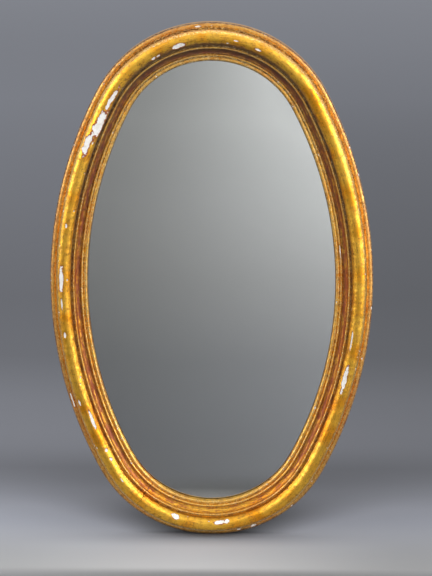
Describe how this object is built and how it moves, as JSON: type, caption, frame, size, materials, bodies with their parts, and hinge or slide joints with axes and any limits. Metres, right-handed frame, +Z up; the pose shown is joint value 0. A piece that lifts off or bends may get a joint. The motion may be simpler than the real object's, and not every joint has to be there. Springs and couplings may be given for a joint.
{
  "type": "oval wall mirror",
  "caption": "Oval wall mirror: flat silvered glass in a gilded wooden moulding, boarded at the back, with a hanging ring at the top.",
  "frame": {"origin": "on the flat back of the frame (the wall plane), at the hanger, right in front of the pivot of its ring", "axes": "+Z up, along the tall way of the oval; +Y out of the back, towards the wall; -Y is the front; +X is the right-hand side seen from the front"},
  "size_m": [0.492, 0.0474, 0.8],
  "materials": {
    "gilded_wood": "water-gilt leaf over red bole and white gesso on pine, rubbed and chipped",
    "ring_pine": "old pine, planed, stained dark by age, outer edge toned ochre",
    "board_pine": "thin rough-planed pine boards, aged",
    "hardwood": "split beech, plain",
    "shim_wood": "pine slips, plain",
    "plate_glass": "clear flat plate glass, polished",
    "silvering": "bright silver mirror coating",
    "rag_paper": "brown rag paper, matt",
    "brad_iron": "dark iron, lightly rusted",
    "hanger_brass": "tarnished pressed brass",
    "ring_brass": "tarnished brass wire, worn bright where it bears",
    "screw_steel": "dull slotted steel"
  },
  "bodies": {
    "frame": {"moulding_upper_right": "gilded_wood", "moulding_upper_left": "gilded_wood", "moulding_lower_right": "gilded_wood", "moulding_lower_left": "gilded_wood", "joint_splines": "hardwood", "back_ring_top": "ring_pine", "back_ring_bottom": "ring_pine", "back_ring_right": "ring_pine", "back_ring_left": "ring_pine", "lap_pegs": "hardwood", "mirror_glass": "plate_glass", "edge_shims": "shim_wood", "silvering": "silvering", "backing_paper": "rag_paper", "backing_board_1": "board_pine", "backing_board_2": "board_pine", "backing_board_3": "board_pine", "brads": "brad_iron", "hanger_plate": "hanger_brass", "hanger_screws": "screw_steel"},
    "ring": {"hanger_ring": "ring_brass"}
  },
  "joints": [
    {"name": "ring_swing", "type": "hinge", "parent": "frame", "child": "ring", "pos_m": [0, 0.0033, 0], "axis": [1, 0, 0], "range_deg": [0, 180]}
  ]
}
